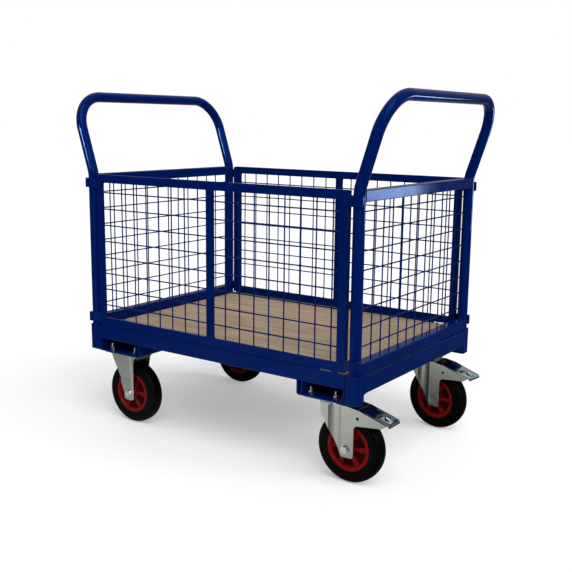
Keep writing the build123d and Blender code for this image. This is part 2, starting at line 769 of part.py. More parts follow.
def build_swivel_fork(name, x, y, turn=None):
    """Press one swivel fork: a crown over two creased legs, each with an arm that carries the brake pedal."""
    foot = axle_height - fork_foot_drop
    crown_bottom = crown_top - crown_wall
    crease = swivel_trail - leg_ahead
    leg_back = swivel_trail + leg_behind
    throat = axle_height + throat_height
    stations = [(-fork_nose, 0)]
    for step in range(fork_groove_steps + 1):
        share = step / fork_groove_steps
        stations.append((crease - fork_groove_width * (1 - share), fork_groove * sin(pi * share)))
    stations.append((arm_tip_reach, 0))
    with BuildPart() as fork:
        with BuildSketch(Plane.XY.offset(foot)):
            leg_section(x, y, stations)
        extrude(amount=crown_top - foot)
        with BuildSketch(side_plane(x, y)) as outline:
            with BuildLine():
                Polyline(
                    (-fork_nose, crown_top),
                    (-fork_nose, axle_height + fork_nose_height),
                    (crease, foot),
                    (leg_back, foot),
                    (leg_back, throat),
                    (arm_tip_reach - arm_tip_cut, arm_tip_height - arm_tip_depth),
                    (arm_tip_reach, arm_tip_height),
                    (arm_shoulder, crown_top - arm_drop),
                    (arm_neck, crown_top),
                    close=True,
                )
            make_face()
            fillet(outline.vertices().sort_by_distance((leg_back, throat))[0], throat_radius)
            fillet(outline.vertices().sort_by_distance((leg_back, foot))[0], fork_foot_corner)
            fillet(outline.vertices().sort_by_distance((crease, foot))[0], fork_foot_corner / 2)
            nose = (-fork_nose, axle_height + fork_nose_height)
            fillet(outline.vertices().sort_by_distance(nose)[0], fork_nose_bend)
        extrude(amount=fork_half_outside, both=True, mode=Mode.INTERSECT)
        with BuildSketch(Plane.XY.offset(crown_bottom)):
            with Locations((x + (arm_neck - fork_nose) / 2, y)):
                Rectangle(arm_neck + fork_nose, fork_inside + fork_wall)
            with Locations((x, y)):
                Circle(crown_diameter / 2)
                Circle(kingpin_diameter / 2 + weld_gap, mode=Mode.SUBTRACT)
        extrude(amount=crown_wall)
        with BuildSketch(side_plane(x, y)):
            with Locations((swivel_trail, axle_height)):
                Circle(axle_diameter / 2 + weld_gap)
            with Locations((pedal_pivot_reach, pedal_pivot_height)):
                Circle(pivot_hole_diameter / 2)
        extrude(amount=fork_half_outside, both=True, mode=Mode.SUBTRACT)
    save(fork, f"{name}_fork", turn)


def build_brake(name, x, y, turn=None):
    """Make the pedal between the fork's arms, the two pins it turns on and the shoe under it."""
    pedal_half = fork_half_inside - pedal_side_gap
    pin_inner = pedal_half - pedal_thickness - slip_clearance
    pin_outer = fork_half_outside - pin_recess
    pivot = (pedal_pivot_reach, pedal_pivot_height)
    with BuildPart() as pivot_pins:
        for sy in (-1, 1):
            with BuildSketch(side_plane(x, y + sy * pin_inner)):
                with Locations(pivot):
                    Circle(pivot_pin_diameter / 2)
            extrude(amount=-sy * (pin_outer - pin_inner))
    save(pivot_pins, f"{name}_pivot_pins", turn)

    arm_top = crown_top - arm_drop
    slope = (arm_top - arm_tip_height) / (arm_tip_reach - arm_shoulder)
    drop = pedal_thickness * sqrt(1 + slope**2)

    def tread(reach, below=0.0):
        """A point under the pedal's tread, which lies flush with the top edges of the arms."""
        return (reach, arm_top - (reach - arm_shoulder) * slope - below)

    lip_inner = pedal_lip_reach - pedal_lip_wall
    lip_bottom = tread(pedal_lip_reach, pedal_lip_drop)[1]
    ear_end = pedal_root + pedal_ear
    barrel_radius = pivot_barrel_diameter / 2
    with BuildPart() as brake_pedal:
        with BuildSketch(side_plane(x, y)):
            with BuildLine():
                Polyline(
                    tread(pedal_root, drop),
                    tread(ear_end, drop),
                    (pedal_pivot_reach + barrel_radius, pedal_pivot_height),
                    (pedal_pivot_reach - barrel_radius, pedal_pivot_height),
                    close=True,
                )
            make_face()
            with Locations(pivot):
                Circle(barrel_radius)
                Circle(pivot_pin_diameter / 2 + running_clearance, mode=Mode.SUBTRACT)
        extrude(amount=pedal_half, both=True)
        with BuildSketch(side_plane(x, y)):
            with Locations(((pedal_root + ear_end) / 2, pedal_pivot_height)):
                Rectangle(4 * pivot_barrel_diameter, 4 * pivot_barrel_diameter)
        extrude(amount=pedal_half - pedal_thickness, both=True, mode=Mode.SUBTRACT)
        with BuildSketch(side_plane(x, y)):
            with BuildLine():
                Polyline(
                    tread(pedal_root),
                    tread(pedal_lip_reach),
                    tread(pedal_lip_reach, drop),
                    tread(pedal_root, drop),
                    close=True,
                )
            make_face()
        extrude(amount=pedal_half, both=True)
        with BuildSketch(side_plane(x, y)):
            with BuildLine():
                Polyline(
                    tread(lip_inner),
                    tread(pedal_lip_reach),
                    (pedal_lip_reach, lip_bottom),
                    (lip_inner, lip_bottom),
                    close=True,
                )
            make_face()
        extrude(amount=pedal_half, both=True)
        tip_edges = brake_pedal.edges().filter_by(Axis.Z).group_by(Axis.X)[-1]
        fillet(tip_edges, pedal_lip_corner)
        with BuildSketch(Plane.XY.offset(lip_bottom)):
            with Locations((x + pedal_slot_reach + pedal_slot_length / 2, y)):
                Trapezoid(pedal_slot_width, pedal_slot_length, pedal_slot_flank, rotation=-90)
        extrude(amount=crown_top - lip_bottom, mode=Mode.SUBTRACT)
        tongue_root = pedal_slot_reach - pedal_tongue_length
        with BuildSketch(side_plane(x, y)):
            with BuildLine():
                Polyline(
                    tread(tongue_root, drop / 2),
                    tread(pedal_slot_reach, -pedal_tongue_rise),
                    tread(pedal_slot_reach, drop - pedal_tongue_rise),
                    tread((tongue_root + pedal_slot_reach) / 2, drop / 2),
                    close=True,
                )
            make_face()
        extrude(amount=pedal_slot_width / 2, both=True)
    save(brake_pedal, f"{name}_brake_pedal", turn)

    shoe_radius = wheel_radius + shoe_gap
    shoe_end = shoe_start + shoe_length
    start_low = (shoe_start, axle_height + sqrt(shoe_radius**2 - (shoe_start - swivel_trail) ** 2))
    end_low = (shoe_end, axle_height + sqrt(shoe_radius**2 - (shoe_end - swivel_trail) ** 2))
    with BuildPart() as brake_shoe:
        with BuildSketch(side_plane(x, y)):
            with BuildLine():
                Polyline(end_low, tread(shoe_end, drop), tread(shoe_start, drop), start_low)
                RadiusArc(start_low, end_low, shoe_radius)
            make_face()
        extrude(amount=shoe_width / 2, both=True)
    save(brake_shoe, f"{name}_brake_shoe", turn)


for castor, (plate_x, plate_y) in castors.items():
    swivels = castor.startswith("right")
    turn = (Axis((plate_x, plate_y, 0), (0, 0, 1)), right_rear_turn) if castor == "right_rear" else None
    axle_x = plate_x + swivel_trail if swivels else plate_x
    build_wheel(castor, axle_x, plate_y, turn)
    build_axle(castor, axle_x, plate_y, turn)
    if swivels:
        build_swivel_head(castor, plate_x, plate_y, turn)
        build_swivel_fork(castor, plate_x, plate_y, turn)
        build_brake(castor, plate_x, plate_y, turn)
    else:
        build_fixed_fork(castor, plate_x, plate_y)
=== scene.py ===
# %% [markdown]
# # A mesh-sided platform trolley
# The frame comes from the imported CAD model: every tube, wire, plate and wheel is already in place, in
# metres. This file gives each surface its finish, adds the small shapes that welding, threading and
# moulding leave, and sets the camera, the floor and the light. The box of the CAD model is kept.

# %% Load the frame
import json
from math import cos, pi, radians, sin, sqrt

import bmesh
import bpy
from mathutils import Euler, Matrix, Vector


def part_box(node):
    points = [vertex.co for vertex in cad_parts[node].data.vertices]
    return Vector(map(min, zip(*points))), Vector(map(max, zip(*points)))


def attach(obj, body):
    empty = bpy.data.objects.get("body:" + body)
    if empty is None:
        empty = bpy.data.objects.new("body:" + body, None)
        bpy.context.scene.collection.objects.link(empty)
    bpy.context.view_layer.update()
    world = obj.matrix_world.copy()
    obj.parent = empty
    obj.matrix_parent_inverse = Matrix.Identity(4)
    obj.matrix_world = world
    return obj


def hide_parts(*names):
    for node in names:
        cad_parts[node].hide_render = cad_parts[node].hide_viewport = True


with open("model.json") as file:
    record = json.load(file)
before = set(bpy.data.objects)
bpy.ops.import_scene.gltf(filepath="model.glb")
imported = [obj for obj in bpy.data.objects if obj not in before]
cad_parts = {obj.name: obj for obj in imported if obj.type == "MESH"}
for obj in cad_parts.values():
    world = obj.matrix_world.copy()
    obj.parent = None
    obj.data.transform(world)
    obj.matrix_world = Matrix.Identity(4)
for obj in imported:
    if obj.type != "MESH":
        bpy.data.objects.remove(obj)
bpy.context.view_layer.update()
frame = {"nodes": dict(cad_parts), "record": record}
nodes = frame["nodes"]

# %% [markdown]
# ## Camera
# The crossings of the wire mesh gave the camera of the photograph: 35 degrees round from the front,
# 11 degrees down, with a slight roll. A camera could also be aimed with a Track To constraint, but three
# angles and a place say the same and stay exact.

# %% Camera
sensor_mm, lens_mm = 36.0, 54.41
camera_place = (1.5774, -2.2148, 0.9679)
azimuth, dip, roll = 35.07, 10.75, 0.66

camera_data = bpy.data.cameras.new("photo_camera")
camera_data.sensor_width = sensor_mm
camera_data.lens = lens_mm
camera = bpy.data.objects.new("photo_camera", camera_data)
bpy.context.scene.collection.objects.link(camera)
aim = Euler((radians(90 - dip), 0, radians(azimuth))).to_matrix() @ Matrix.Rotation(radians(roll), 3, "Z")
camera.matrix_world = Matrix.Translation(camera_place) @ aim.to_4x4()
bpy.context.scene.camera = camera
bpy.context.scene.view_settings.view_transform = "Standard"
print("camera looks along", camera.matrix_world.to_3x3() @ Vector((0, 0, -1)))


# %% [markdown]
# ## Colours and nodes
# Colours are written as sRGB hex, as a paint program shows them. Blender's sockets take linear light, so
# one function turns the one into the other. One more function adds a node with its settings and links, so
# that a material reads as a list of what it is made of. Every pattern uses object coordinates, which are
# metres here, so a scale is one over a real length.

# %% Helpers for every material
MM = 0.001


def linear(hex_colour):
    shares = [int(hex_colour[i:i + 2], 16) / 255 for i in (1, 3, 5)]
    return [c / 12.92 if c <= 0.04045 else ((c + 0.055) / 1.055) ** 2.4 for c in shares] + [1.0]


def add(tree, kind, inputs=None, **settings):
    node = tree.nodes.new("ShaderNode" + kind)
    for name, value in settings.items():
        setattr(node, name, value)
    for name, value in (inputs or {}).items():
        if isinstance(value, bpy.types.NodeSocket):
            tree.links.new(value, node.inputs[name])
        else:
            node.inputs[name].default_value = value
    return node


def new_finish(name):
    finish = bpy.data.materials.new(name)
    finish.use_nodes = True
    tree = finish.node_tree
    return finish, tree, tree.nodes["Principled BSDF"], add(tree, "TexCoord").outputs["Object"]


print("a mid grey, #808080, is", round(linear("#808080")[0], 3), "in linear light")

# %% [markdown]
# ## Floor
# The photograph has a white ground that runs into a white background, with a soft shadow under the trolley
# and to its left. A large sheet of pale paper takes the shadow. It could be a curved sweep, as in a studio,
# but a flat sheet that reaches far past the view meets the white background just as well.

# %% Floor
floor_half = 60

floor_mesh = bmesh.new()
bmesh.ops.create_grid(floor_mesh, x_segments=1, y_segments=1, size=floor_half)
floor_data = bpy.data.meshes.new("studio_floor")
floor_mesh.to_mesh(floor_data)
floor_mesh.free()
floor = bpy.data.objects.new("studio_floor", floor_data)
bpy.context.scene.collection.objects.link(floor)
print("floor", floor.dimensions.x, "m wide")

# %% [markdown]
# ### Paper
# Part of the paper's white comes from a glow that only the camera and mirror or glass rays see, so the paper
# throws no extra light up at the trolley.
#
# The gloss coat and the zinc mirror this floor. In the photograph they mirror a white sheet that lies in
# front of the trolley and to its left, a weaker patch behind it, and a dark room elsewhere. So in
# reflections only, the paper fades to dark outside those two patches. Black cards round the set would do
# the same, but they would also darken the floor the camera sees. The edges of a patch are fades along X or
# Y: the darkest of its fades makes the patch, and the lighter of the two patches is what a mirror sees.


# %% Paper
def seen_directly(tree, mirror_share):
    path = add(tree, "LightPath")
    mirrored = add(tree, "Math", {0: path.outputs["Is Glossy Ray"], 1: mirror_share}, operation="MULTIPLY")
    through = add(tree, "Math", {0: path.outputs["Is Transmission Ray"], 1: mirrored.outputs[0]},
                  operation="MAXIMUM")
    return add(tree, "Math", {0: path.outputs["Is Camera Ray"], 1: through.outputs[0]},
               operation="MAXIMUM").outputs[0]


def only_in_gloss(tree, share):
    in_gloss = add(tree, "LightPath").outputs["Is Glossy Ray"]
    return add(tree, "Mix", {0: in_gloss, 2: 1.0, 3: share}).outputs[0]


dark_room, weak_patch, paper_glow = 0.07, 0.35, 0.32
# Along which axis a fade runs, where it starts and ends in metres, and how light the paper is there.
fades = {
    "leftward": ("X", (0.2, 0.6), (1.0, dark_room)),
    "inward": ("X", (-1.35, -0.1), (0.08, 1.0)),
    "frontward": ("Y", (-0.6, 0.2), (1.0, dark_room)),
    "backward": ("Y", (0.3, 0.8), (dark_room, weak_patch)),
    "beside": ("X", (0.6, 0.9), (weak_patch, dark_room)),
}

paper, tree, shader, here = new_finish("white_paper_sweep")
place = add(tree, "SeparateXYZ", {0: here})
faded = {}
for fade, (axis, (start, end), (first, last)) in fades.items():
    faded[fade] = add(tree, "MapRange", {"Value": place.outputs[axis], "From Min": start, "From Max": end,
                                         "To Min": first, "To Max": last}).outputs[0]
across = add(tree, "Math", {0: faded["leftward"], 1: faded["inward"]}, operation="MINIMUM")
in_front = add(tree, "Math", {0: across.outputs[0], 1: faded["frontward"]}, operation="MINIMUM")
behind = add(tree, "Math", {0: faded["backward"], 1: faded["beside"]}, operation="MINIMUM")
sheet = add(tree, "Math", {0: in_front.outputs[0], 1: behind.outputs[0]}, operation="MAXIMUM")
shown = only_in_gloss(tree, sheet.outputs[0])
white_sheet = add(tree, "VectorMath", {0: linear("#C8C8C8")[:3], "Scale": shown}, operation="SCALE")
tree.links.new(white_sheet.outputs[0], shader.inputs["Base Color"])
shader.inputs["Roughness"].default_value = 0.9
shader.inputs["Specular IOR Level"].default_value = 0.0
shader.inputs["Emission Color"].default_value = (1, 1, 1, 1)
glow = add(tree, "Math", {0: seen_directly(tree, 1.0), 1: paper_glow}, operation="MULTIPLY")
seen_glow = add(tree, "Math", {0: glow.outputs[0], 1: shown}, operation="MULTIPLY")
tree.links.new(seen_glow.outputs[0], shader.inputs["Emission Strength"])
floor_data.materials.append(paper)
print(paper.name, len(tree.nodes), "nodes")

# %% [markdown]
# ## World
# A gloss coat shows what stands around it. In a photo studio that is a white sweep behind the object and a
# darker room on the camera's side, so the world is bright towards the back and dark towards the front. The
# dot product of the view direction with the way to the back gives that as one smooth ramp. In reflections
# it also darkens towards the horizon, where the room's walls would stand.

# %% World
way_to_back = (-0.50, 0.72, 0.48)
front_light, back_light = 0.03, 0.75
wall_light, ceiling_light = 0.25, 0.85
white_in_mirrors = 0.05

world = bpy.data.worlds.new("studio")
bpy.context.scene.world = world
world.use_nodes = True
tree = world.node_tree
tree.nodes.clear()
way = add(tree, "TexCoord").outputs["Generated"]
to_back = add(tree, "VectorMath", {0: way, 1: way_to_back}, operation="DOT_PRODUCT")
bright = add(tree, "MapRange", {"Value": to_back.outputs["Value"], "From Min": -0.5, "From Max": 0.9,
                                "To Min": front_light, "To Max": back_light})
height = add(tree, "SeparateXYZ", {0: way}).outputs["Z"]
dim = add(tree, "MapRange", {"Value": height, "From Min": 0.15, "From Max": 0.6,
                             "To Min": wall_light, "To Max": ceiling_light})
room = only_in_gloss(tree, dim.outputs[0])
dimmed = add(tree, "Math", {0: bright.outputs[0], 1: room}, operation="MULTIPLY")
background = add(tree, "Background", {"Color": (0.97, 0.98, 1, 1), "Strength": dimmed.outputs[0]})
white = add(tree, "Background", {"Color": (1, 1, 1, 1)})
both = add(tree, "MixShader", {0: seen_directly(tree, white_in_mirrors), 1: background.outputs[0],
                               2: white.outputs[0]})
add(tree, "OutputWorld", {"Surface": both.outputs[0]})
print("world runs from", front_light, "to", back_light)

# %% [markdown]
# ## Suns
# Two suns with a wide disc light everything evenly, as large softboxes far away do, so the floor has no
# falloff. The lower one stands to the right. A third one, low at the right, lights the floor alone and sends
# the soft shadow left, so that the blue end faces keep their depth. Light linking holds it to the floor.


# %% Suns
def light_only(lamp, lit):
    group = bpy.data.collections.new(lamp.name + "_lights")
    for thing in lit:
        group.objects.link(thing)
    lamp.light_linking.receiver_collection = group


def sun(name, towards, strength, disc):
    data = bpy.data.lights.new(name, "SUN")
    data.energy = strength
    data.angle = radians(disc)
    lamp = bpy.data.objects.new(name, data)
    lamp.rotation_euler = Vector(towards).to_track_quat("Z", "Y").to_euler()
    bpy.context.scene.collection.objects.link(lamp)
    print(name, "strength", strength)
    return lamp


sun("key_softbox", towards=(0.70, -0.45, 0.56), strength=1.45, disc=45)
sun("overhead_softbox", towards=(0.38, -0.42, 1.0), strength=1.5, disc=42)
low_side = sun("side_softbox", towards=(0.88, 0.20, 0.40), strength=1.7, disc=30)
light_only(low_side, [floor])

# %% [markdown]
# ## Panels
# Three panels give the bright lines and washes on the gloss coat: one the lines down the left hoop, one the
# wash on the right end's rails, one the line under the right handle bar. A photographer flags such lamps
# with black cards. Here light linking does it: each is seen only in the gloss, and only by the pieces named
# with it, so it neither lifts the shadow nor puts lines where the photograph has none. An area lamp's power
# is spread over its face, so power is worked out from how bright that face should look.


# %% Panels
def panel(name, place, target, size, radiance, lit, colour):
    data = bpy.data.lights.new(name, "AREA")
    data.color = linear(colour)[:3]
    data.shape = "RECTANGLE"
    data.size, data.size_y = size
    data.energy = radiance * pi * size[0] * size[1]
    lamp = bpy.data.objects.new(name, data)
    lamp.location = place
    lamp.rotation_euler = (Vector(place) - Vector(target)).to_track_quat("Z", "Y").to_euler()
    lamp.visible_camera = False
    lamp.visible_diffuse = False
    bpy.context.scene.collection.objects.link(lamp)
    light_only(lamp, [nodes[node] for node in lit])
    print(name, round(data.energy), "W on", *lit)


warm_white, cool_white = "#FFD2BE", "#B4D2FF"
panel("left_front_panel", place=(-0.96, -2.46, 1.32), target=(-0.52, 0.0, 0.90), size=(0.8, 0.34),
      radiance=220, lit=["left_end_hoop"], colour=warm_white)
panel("right_rear_panel", place=(2.05, 2.27, 0.62), target=(0.5, -0.2, 0.79), size=(0.73, 0.24),
      radiance=13, lit=["right_end_rails", "front_panel_hooks"], colour=cool_white)
panel("low_rear_panel", place=(1.37, 1.62, 0.60), target=(0.55, -0.15, 1.03), size=(0.36, 0.32),
      radiance=24, lit=["right_end_hoop"], colour=cool_white)

# %% [markdown]
# ## Blue powder coat on welded steel
# Tubes, rails, sheet and mesh are welded, then sprayed with dry powder and baked. The powder melts to a
# thick glossy film. To the eye it is a deep, even blue with soft lamp lines, and close up it has the slow
# waves called orange peel. A car-paint coat layer would also work, but the film is one layer, so plain
# specular does it. Its reflection is tinted towards blue, because here the film hardly mirrors red.

# %% Powder coat
powder_coat, tree, shader, here = new_finish("powder_coat_gloss_blue")
# The film is sprayed in sweeps, so its thickness drifts over about 110 mm.
film = add(tree, "TexNoise", {"Vector": here, "Scale": 1 / (110 * MM), "Detail": 3.0})
tone = add(tree, "ValToRGB", {0: film.outputs["Fac"]})
tone.color_ramp.elements[0].color = linear("#00154E")
tone.color_ramp.elements[1].color = linear("#001C63")
tree.links.new(tone.outputs[0], shader.inputs["Base Color"])
# Orange peel has waves of 1 to 3 mm; they are drawn 4 mm wide, because finer ones would only blur.
peel = add(tree, "TexNoise", {"Vector": here, "Scale": 1 / (4 * MM), "Detail": 1.0})
bump = add(tree, "Bump", {"Strength": 0.05, "Distance": 0.3 * MM, "Height": peel.outputs["Fac"]})
tree.links.new(bump.outputs[0], shader.inputs["Normal"])
# Handling dulls the gloss in patches about a hand wide.
handled = add(tree, "TexNoise", {"Vector": here, "Scale": 1 / (70 * MM), "Detail": 5.0})
gloss = add(tree, "MapRange", {"Value": handled.outputs["Fac"], "From Min": 0.3, "From Max": 0.7,
                               "To Min": 0.07, "To Max": 0.13})
tree.links.new(gloss.outputs[0], shader.inputs["Roughness"])
shader.inputs["Specular IOR Level"].default_value = 0.14
shader.inputs["Specular Tint"].default_value = (0.08, 0.35, 1.0, 1.0)
print(powder_coat.name, len(tree.nodes), "nodes")

# %% [markdown]
# ## Bright zinc on pressed steel
# Forks and plates are pressed from sheet and dipped in a zinc bath, then passivated. To the eye that is a
# soft grey mirror with faint warm and bluish clouds from the passivation, and with fine draw lines from the
# press. Metallic is 1 and the colour is what zinc reflects. Two noises at different sizes stand for the
# clouds and for the small spangle.

# %% Zinc plate on sheet
zinc_sheet, tree, shader, here = new_finish("zinc_plate_on_pressed_steel")
# The clouds are about 35 mm wide and the spangle about 5 mm.
cloud = add(tree, "TexNoise", {"Vector": here, "Scale": 1 / (35 * MM), "Detail": 3.0})
tone = add(tree, "ValToRGB", {0: cloud.outputs["Fac"]})
tone.color_ramp.elements[0].position = 0.3
tone.color_ramp.elements[1].position = 0.7
tone.color_ramp.elements[0].color = linear("#A3A297")
tone.color_ramp.elements[1].color = linear("#A2AAA8")
spangle = add(tree, "TexNoise", {"Vector": here, "Scale": 1 / (5 * MM), "Detail": 4.0})
shade = add(tree, "MapRange", {"Value": spangle.outputs["Fac"], "From Min": 0.3, "From Max": 0.7,
                               "To Min": 0.93, "To Max": 1.05})
tinted = add(tree, "VectorMath", {0: tone.outputs[0], "Scale": shade.outputs[0]}, operation="SCALE")
tree.links.new(tinted.outputs[0], shader.inputs["Base Color"])
# Draw lines are finer than a millimetre and run up the fork; they are drawn 3 mm wide and stretched along Z.
draw_lines = add(tree, "Mapping", {"Vector": here, "Scale": (1.0, 1.0, 0.08)})
drawn = add(tree, "TexNoise", {"Vector": draw_lines.outputs[0], "Scale": 1 / (3 * MM), "Detail": 2.0})
dull = add(tree, "MapRange", {"Value": drawn.outputs["Fac"], "From Min": 0.3, "From Max": 0.7,
                              "To Min": 0.16, "To Max": 0.26})
tree.links.new(dull.outputs[0], shader.inputs["Roughness"])
shader.inputs["Metallic"].default_value = 1.0
print(zinc_sheet.name, len(tree.nodes), "nodes")

# %% [markdown]
# ### Bright pedals
# Feet polish the brake pedals, so their zinc is smoother and a little bluer than the forks'. To the eye that
# is a clear mirror that shows the dark chassis above, with fine scratches. A mask on the forks' finish could
# do it, but colour and roughness both differ, so it is a finish of its own.

# %% Pedals
foot_polished_zinc, tree, shader, here = new_finish("foot_polished_zinc_plate")
cloud = add(tree, "TexNoise", {"Vector": here, "Scale": 1 / (14 * MM), "Detail": 3.0})
tone = add(tree, "ValToRGB", {0: cloud.outputs["Fac"]})
tone.color_ramp.elements[0].color = linear("#A2AFB4")
tone.color_ramp.elements[1].color = linear("#BCC9CC")
tree.links.new(tone.outputs[0], shader.inputs["Base Color"])
# Scratches are a tenth of a millimetre wide; 0.8 mm is the finest that still shows.
scuffed = add(tree, "Mapping", {"Vector": here, "Scale": (0.1, 1.0, 0.1)})
scratch = add(tree, "TexNoise", {"Vector": scuffed.outputs[0], "Scale": 1 / (0.8 * MM), "Detail": 2.0})
dull = add(tree, "MapRange", {"Value": scratch.outputs["Fac"], "From Min": 0.3, "From Max": 0.7,
                              "To Min": 0.07, "To Max": 0.14})
tree.links.new(dull.outputs[0], shader.inputs["Roughness"])
shader.inputs["Metallic"].default_value = 1.0
print(foot_polished_zinc.name, len(tree.nodes), "nodes")

# %% [markdown]
# ## Zinc on machined steel, and dark pins
# Bolts, nuts and axles are turned and then plated, so to the eye they are brighter and smoother than the
# sheet. The brake's pins are near black with a low gloss: painted shade, so that their ends deep in their
# holes look as dark as the holes. Both are turned steel with a cloudy surface, so one function makes the
# two.


# %% Fasteners and pins
def turned_steel(name, patch, dark, light, roughness):
    finish, tree, shader, here = new_finish(name)
    cloud = add(tree, "TexNoise", {"Vector": here, "Scale": 1 / patch, "Detail": 3.0})
    tone = add(tree, "ValToRGB", {0: cloud.outputs["Fac"]})
    tone.color_ramp.elements[0].color = linear(dark)
    tone.color_ramp.elements[1].color = linear(light)
    tree.links.new(tone.outputs[0], shader.inputs["Base Color"])
    shader.inputs["Metallic"].default_value = 1.0
    shader.inputs["Roughness"].default_value = roughness
    print(name, len(tree.nodes), "nodes")
    return finish


zinc_bolt = turned_steel("zinc_plate_on_machined_steel", patch=6 * MM,
                         dark="#B0B5B4", light="#D4D8D6", roughness=0.22)
# The pins' near black is painted shade for the holes they sit in.
dark_pin_shade = turned_steel("dark_steel_painted_hole_shade", patch=4 * MM,
                           dark="#141416", light="#2A2A2C", roughness=0.45)

# %% [markdown]
# ## Red polypropylene
# The hubs are moulded in one shot, and the mould was polished on the rim and the spokes. To the eye the red
# is even and waxy with a soft gloss. Slow flow clouds are all that varies in the colour.

# %% Hub
polypropylene, tree, shader, here = new_finish("moulded_red_polypropylene")
flow = add(tree, "TexNoise", {"Vector": here, "Scale": 1 / (20 * MM), "Detail": 3.0})
tone = add(tree, "ValToRGB", {0: flow.outputs["Fac"]})
tone.color_ramp.elements[0].color = linear("#66080A")
tone.color_ramp.elements[1].color = linear("#7E0C10")
tree.links.new(tone.outputs[0], shader.inputs["Base Color"])
# Tool marks in the mould are about 0.5 mm apart; 1.5 mm shows as a slight waxiness.
tooled = add(tree, "TexNoise", {"Vector": here, "Scale": 1 / (1.5 * MM), "Detail": 2.0})
bump = add(tree, "Bump", {"Strength": 0.2, "Distance": 0.1 * MM, "Height": tooled.outputs["Fac"]})
tree.links.new(bump.outputs[0], shader.inputs["Normal"])
shader.inputs["Roughness"].default_value = 0.25
shader.inputs["Specular IOR Level"].default_value = 0.12
shader.inputs["Specular Tint"].default_value = (1.0, 0.5, 0.5, 1.0)
print(polypropylene.name, len(tree.nodes), "nodes")

# %% [markdown]
# ### In the pockets
# The mould was left as cut in the pockets, so they have no gloss. Their red is darker too: painted
# shade, deeper than the pockets' own shadow. It is a second finish of the hub, on the faces of its pockets.

# %% Hub pockets
pocket_shade_red, tree, shader, here = new_finish("red_polypropylene_painted_pocket_shade")
shade_mottle = add(tree, "TexNoise", {"Vector": here, "Scale": 1 / (9 * MM), "Detail": 4.0})
tone = add(tree, "ValToRGB", {0: shade_mottle.outputs["Fac"]})
# The darker red is painted shade in the pockets.
tone.color_ramp.elements[0].color = linear("#3A0305")
tone.color_ramp.elements[1].color = linear("#520508")
tree.links.new(tone.outputs[0], shader.inputs["Base Color"])
shader.inputs["Roughness"].default_value = 0.6
shader.inputs["Specular IOR Level"].default_value = 0.1
print(pocket_shade_red.name, len(tree.nodes), "nodes")

# %% [markdown]
# ## Black rubber
# Tyres are pressed in a hot mould and rubbed clean. To the eye new rubber is nearly black, with a grey bloom
# of wax in patches and a fine grain from the mould. The low specular level keeps the side walls dark.

# %% Tyre and brake block
rubber, tree, shader, here = new_finish("moulded_black_rubber")
bloom = add(tree, "TexNoise", {"Vector": here, "Scale": 1 / (15 * MM), "Detail": 5.0})
tone = add(tree, "ValToRGB", {0: bloom.outputs["Fac"]})
tone.color_ramp.elements[0].color = linear("#030303")
tone.color_ramp.elements[1].color = linear("#080807")
tree.links.new(tone.outputs[0], shader.inputs["Base Color"])
# The mould's grain is about 0.4 mm; 1.2 mm is the finest that still shows.
grain = add(tree, "TexNoise", {"Vector": here, "Scale": 1 / (1.2 * MM), "Detail": 2.0})
bump = add(tree, "Bump", {"Strength": 0.25, "Distance": 0.15 * MM, "Height": grain.outputs["Fac"]})
tree.links.new(bump.outputs[0], shader.inputs["Normal"])
shader.inputs["Roughness"].default_value = 0.42
shader.inputs["Specular IOR Level"].default_value = 0.05
print(rubber.name, len(tree.nodes), "nodes")

# %% [markdown]
# ## Birch plywood
# The deck is one sanded board. To the eye its face veneer is pale and even with long, faint grain along the
# trolley, and its cut edge shows the plies as stripes. One noise stretched along X is the grain, and the
# direction of the surface chooses between face and edge.

# %% Deck
plywood, tree, shader, here = new_finish("sanded_birch_plywood")
# Grain lines are 1 to 3 mm wide and a few hundred long; 6 mm by 180 mm is what the picture can hold.
along = add(tree, "Mapping", {"Vector": here, "Scale": (6 / 180, 1.0, 1.0)})
grain = add(tree, "TexNoise", {"Vector": along.outputs[0], "Scale": 1 / (6 * MM), "Detail": 6.0})
face_tone = add(tree, "ValToRGB", {0: grain.outputs["Fac"]})
face_tone.color_ramp.elements[0].position = 0.3
face_tone.color_ramp.elements[1].position = 0.7
face_tone.color_ramp.elements[0].color = linear("#85705A")
face_tone.color_ramp.elements[1].color = linear("#BBA387")
scuffs = add(tree, "TexNoise", {"Vector": here, "Scale": 1 / (90 * MM), "Detail": 6.0})
worn = add(tree, "MapRange", {"Value": scuffs.outputs["Fac"], "From Min": 0.35, "From Max": 0.7,
                              "To Min": 1.03, "To Max": 0.92})
face = add(tree, "VectorMath", {0: face_tone.outputs[0], "Scale": worn.outputs[0]}, operation="SCALE")
# Nine plies in 12 mm, so one light and dark pair is 2.7 mm. A wave of scale 1 is 2 pi / 20 long.
ply_pair = 2.7 * MM
plies = add(tree, "TexWave", {"Vector": here, "Scale": 2 * pi / ply_pair / 20, "Distortion": 0.5},
            bands_direction="Z")
edge_tone = add(tree, "ValToRGB", {0: plies.outputs["Fac"]})
edge_tone.color_ramp.elements[0].color = linear("#6F5637")
edge_tone.color_ramp.elements[1].color = linear("#B39A74")
facing = add(tree, "SeparateXYZ", {0: add(tree, "NewGeometry").outputs["Normal"]})
upward = add(tree, "Math", {0: facing.outputs["Z"]}, operation="ABSOLUTE")
flat = add(tree, "Math", {0: upward.outputs[0], 1: 0.5}, operation="GREATER_THAN")
board = add(tree, "Mix", {0: flat.outputs[0], 6: edge_tone.outputs[0], 7: face.outputs[0]},
            data_type="RGBA")
tree.links.new(board.outputs[2], shader.inputs["Base Color"])
bump = add(tree, "Bump", {"Strength": 0.2, "Distance": 0.2 * MM, "Height": grain.outputs["Fac"]})
tree.links.new(bump.outputs[0], shader.inputs["Normal"])
shader.inputs["Roughness"].default_value = 0.55
shader.inputs["Specular IOR Level"].default_value = 0.25
print(plywood.name, len(tree.nodes), "nodes")

# %% [markdown]
# ## Finishes on the CAD nodes
# The record names a material slot for each node, so a dictionary from slot to finish dresses the whole
# model. Only the brake's pins and pedals differ from their slot.

